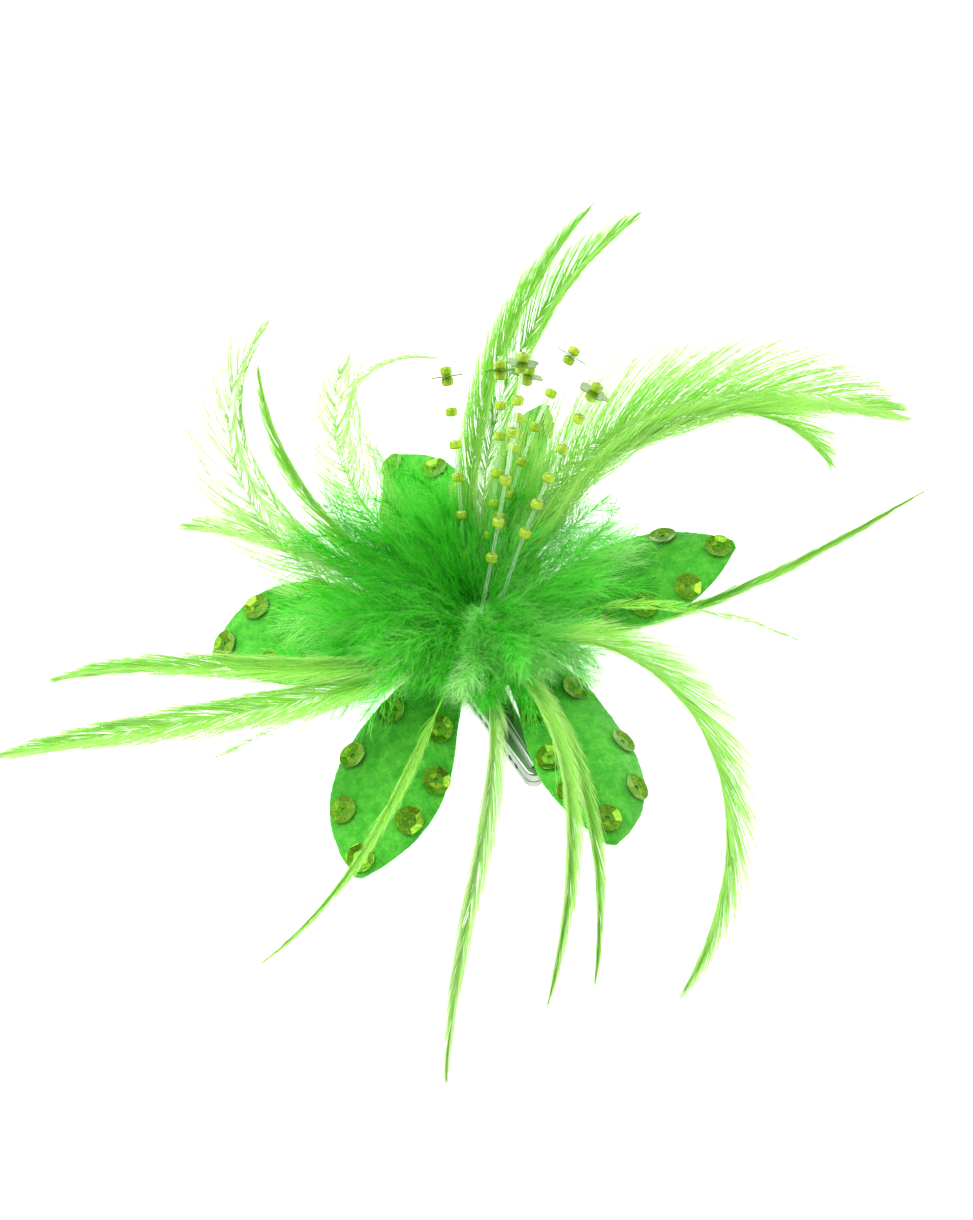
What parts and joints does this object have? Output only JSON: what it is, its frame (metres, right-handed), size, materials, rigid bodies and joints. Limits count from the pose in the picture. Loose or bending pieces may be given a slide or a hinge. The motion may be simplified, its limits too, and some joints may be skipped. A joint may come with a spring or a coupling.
{
  "type": "flower fascinator hair clip",
  "caption": "Feather flower fascinator on a sprung beak hair clip: sequinned petals, marabou fluff, long hackle feathers and beaded stamens.",
  "frame": {"origin": "Middle of the line along which the clip's two jaws grip the hair", "axes": "+Z is the flower's axis, away from the head; the clip lies along Y with its tip at -Y and its hinge pin along X"},
  "size_m": [0.2122, 0.1649, 0.0735],
  "materials": {
    "clip_metal": "nickel-plated sheet steel, lightly satin",
    "spring_wire": "bright spring wire",
    "felt": "green felt",
    "hot_glue": "milky hot glue",
    "petal_velour": "short-pile green velour felt",
    "sequin": "metallised yellow-green film, hexagonal facets",
    "hackle": "dyed lime hackle feather",
    "marabou": "dyed green marabou down",
    "nylon_thread": "clear nylon thread",
    "seed_bead": "silver-lined yellow-green glass",
    "flower_sequin": "metallised green film"
  },
  "bodies": {
    "flower": {"clip_upper_jaw": "clip_metal", "hinge_pin": "clip_metal", "clip_spring": "spring_wire", "felt_disc": "felt", "glue_mound": "hot_glue", "petal_1": "petal_velour", "petal_2": "petal_velour", "petal_3": "petal_velour", "petal_4": "petal_velour", "petal_5": "petal_velour", "petal_6": "petal_velour", "petal_1_sequins": "sequin", "petal_2_sequins": "sequin", "petal_3_sequins": "sequin", "petal_4_sequins": "sequin", "petal_5_sequins": "sequin", "petal_6_sequins": "sequin", "hackle_01": "hackle", "hackle_02": "hackle", "hackle_03": "hackle", "hackle_04": "hackle", "hackle_05": "hackle", "hackle_06": "hackle", "hackle_07": "hackle", "hackle_08": "hackle", "hackle_09": "hackle", "hackle_10": "hackle", "hackle_11": "hackle", "hackle_12": "hackle", "hackle_13": "hackle", "hackle_14": "hackle", "hackle_15": "hackle", "hackle_16": "hackle", "hackle_17": "hackle", "hackle_18": "hackle", "marabou_1": "marabou", "marabou_2": "marabou", "marabou_3": "marabou", "marabou_4": "marabou", "marabou_5": "marabou", "marabou_6": "marabou", "stamen_1_thread": "nylon_thread", "stamen_2_thread": "nylon_thread", "stamen_3_thread": "nylon_thread", "stamen_4_thread": "nylon_thread", "stamen_5_thread": "nylon_thread", "stamen_6_thread": "nylon_thread", "stamen_1_beads": "seed_bead", "stamen_2_beads": "seed_bead", "stamen_3_beads": "seed_bead", "stamen_4_beads": "seed_bead", "stamen_5_beads": "seed_bead", "stamen_6_beads": "seed_bead"},
    "lower_jaw": {"clip_lower_jaw": "clip_metal"},
    "stamen_flower_1": {"stamen_1_flower": "flower_sequin"},
    "stamen_flower_2": {"stamen_2_flower": "flower_sequin"},
    "stamen_flower_3": {"stamen_3_flower": "flower_sequin"},
    "stamen_flower_4": {"stamen_4_flower": "flower_sequin"},
    "stamen_flower_5": {"stamen_5_flower": "flower_sequin"},
    "stamen_flower_6": {"stamen_6_flower": "flower_sequin"}
  },
  "joints": [
    {"name": "jaw_open", "type": "hinge", "parent": "flower", "child": "lower_jaw", "pos_m": [0, 0.018, 0], "axis": [1, 0, 0], "range_deg": [0, 32], "stiffness_Nm_per_rad": 0.05, "springref_deg": -34.38, "deforming": ["clip_spring"]},
    {"name": "stamen_1_spin", "type": "hinge", "parent": "flower", "child": "stamen_flower_1", "pos_m": [0.01645, 0.05702, 0.04289], "axis": [0.2114, 0.7158, 0.6656], "continuous": true},
    {"name": "stamen_2_spin", "type": "hinge", "parent": "flower", "child": "stamen_flower_2", "pos_m": [0.02833, 0.05526, 0.04025], "axis": [0.3376, 0.7258, 0.5993], "continuous": true},
    {"name": "stamen_3_spin", "type": "hinge", "parent": "flower", "child": "stamen_flower_3", "pos_m": [0.02526, 0.03955, 0.06085], "axis": [0.3458, 0.4223, 0.8379], "continuous": true},
    {"name": "stamen_4_spin", "type": "hinge", "parent": "flower", "child": "stamen_flower_4", "pos_m": [0.02983, 0.04559, 0.04793], "axis": [0.4625, 0.4516, 0.763], "continuous": true},
    {"name": "stamen_5_spin", "type": "hinge", "parent": "flower", "child": "stamen_flower_5", "pos_m": [0.04293, 0.05049, 0.04233], "axis": [0.7467, 0.3407, 0.5713], "continuous": true},
    {"name": "stamen_6_spin", "type": "hinge", "parent": "flower", "child": "stamen_flower_6", "pos_m": [0.0357, 0.02795, 0.0582], "axis": [0.6161, 0.1634, 0.7706], "continuous": true}
  ]
}
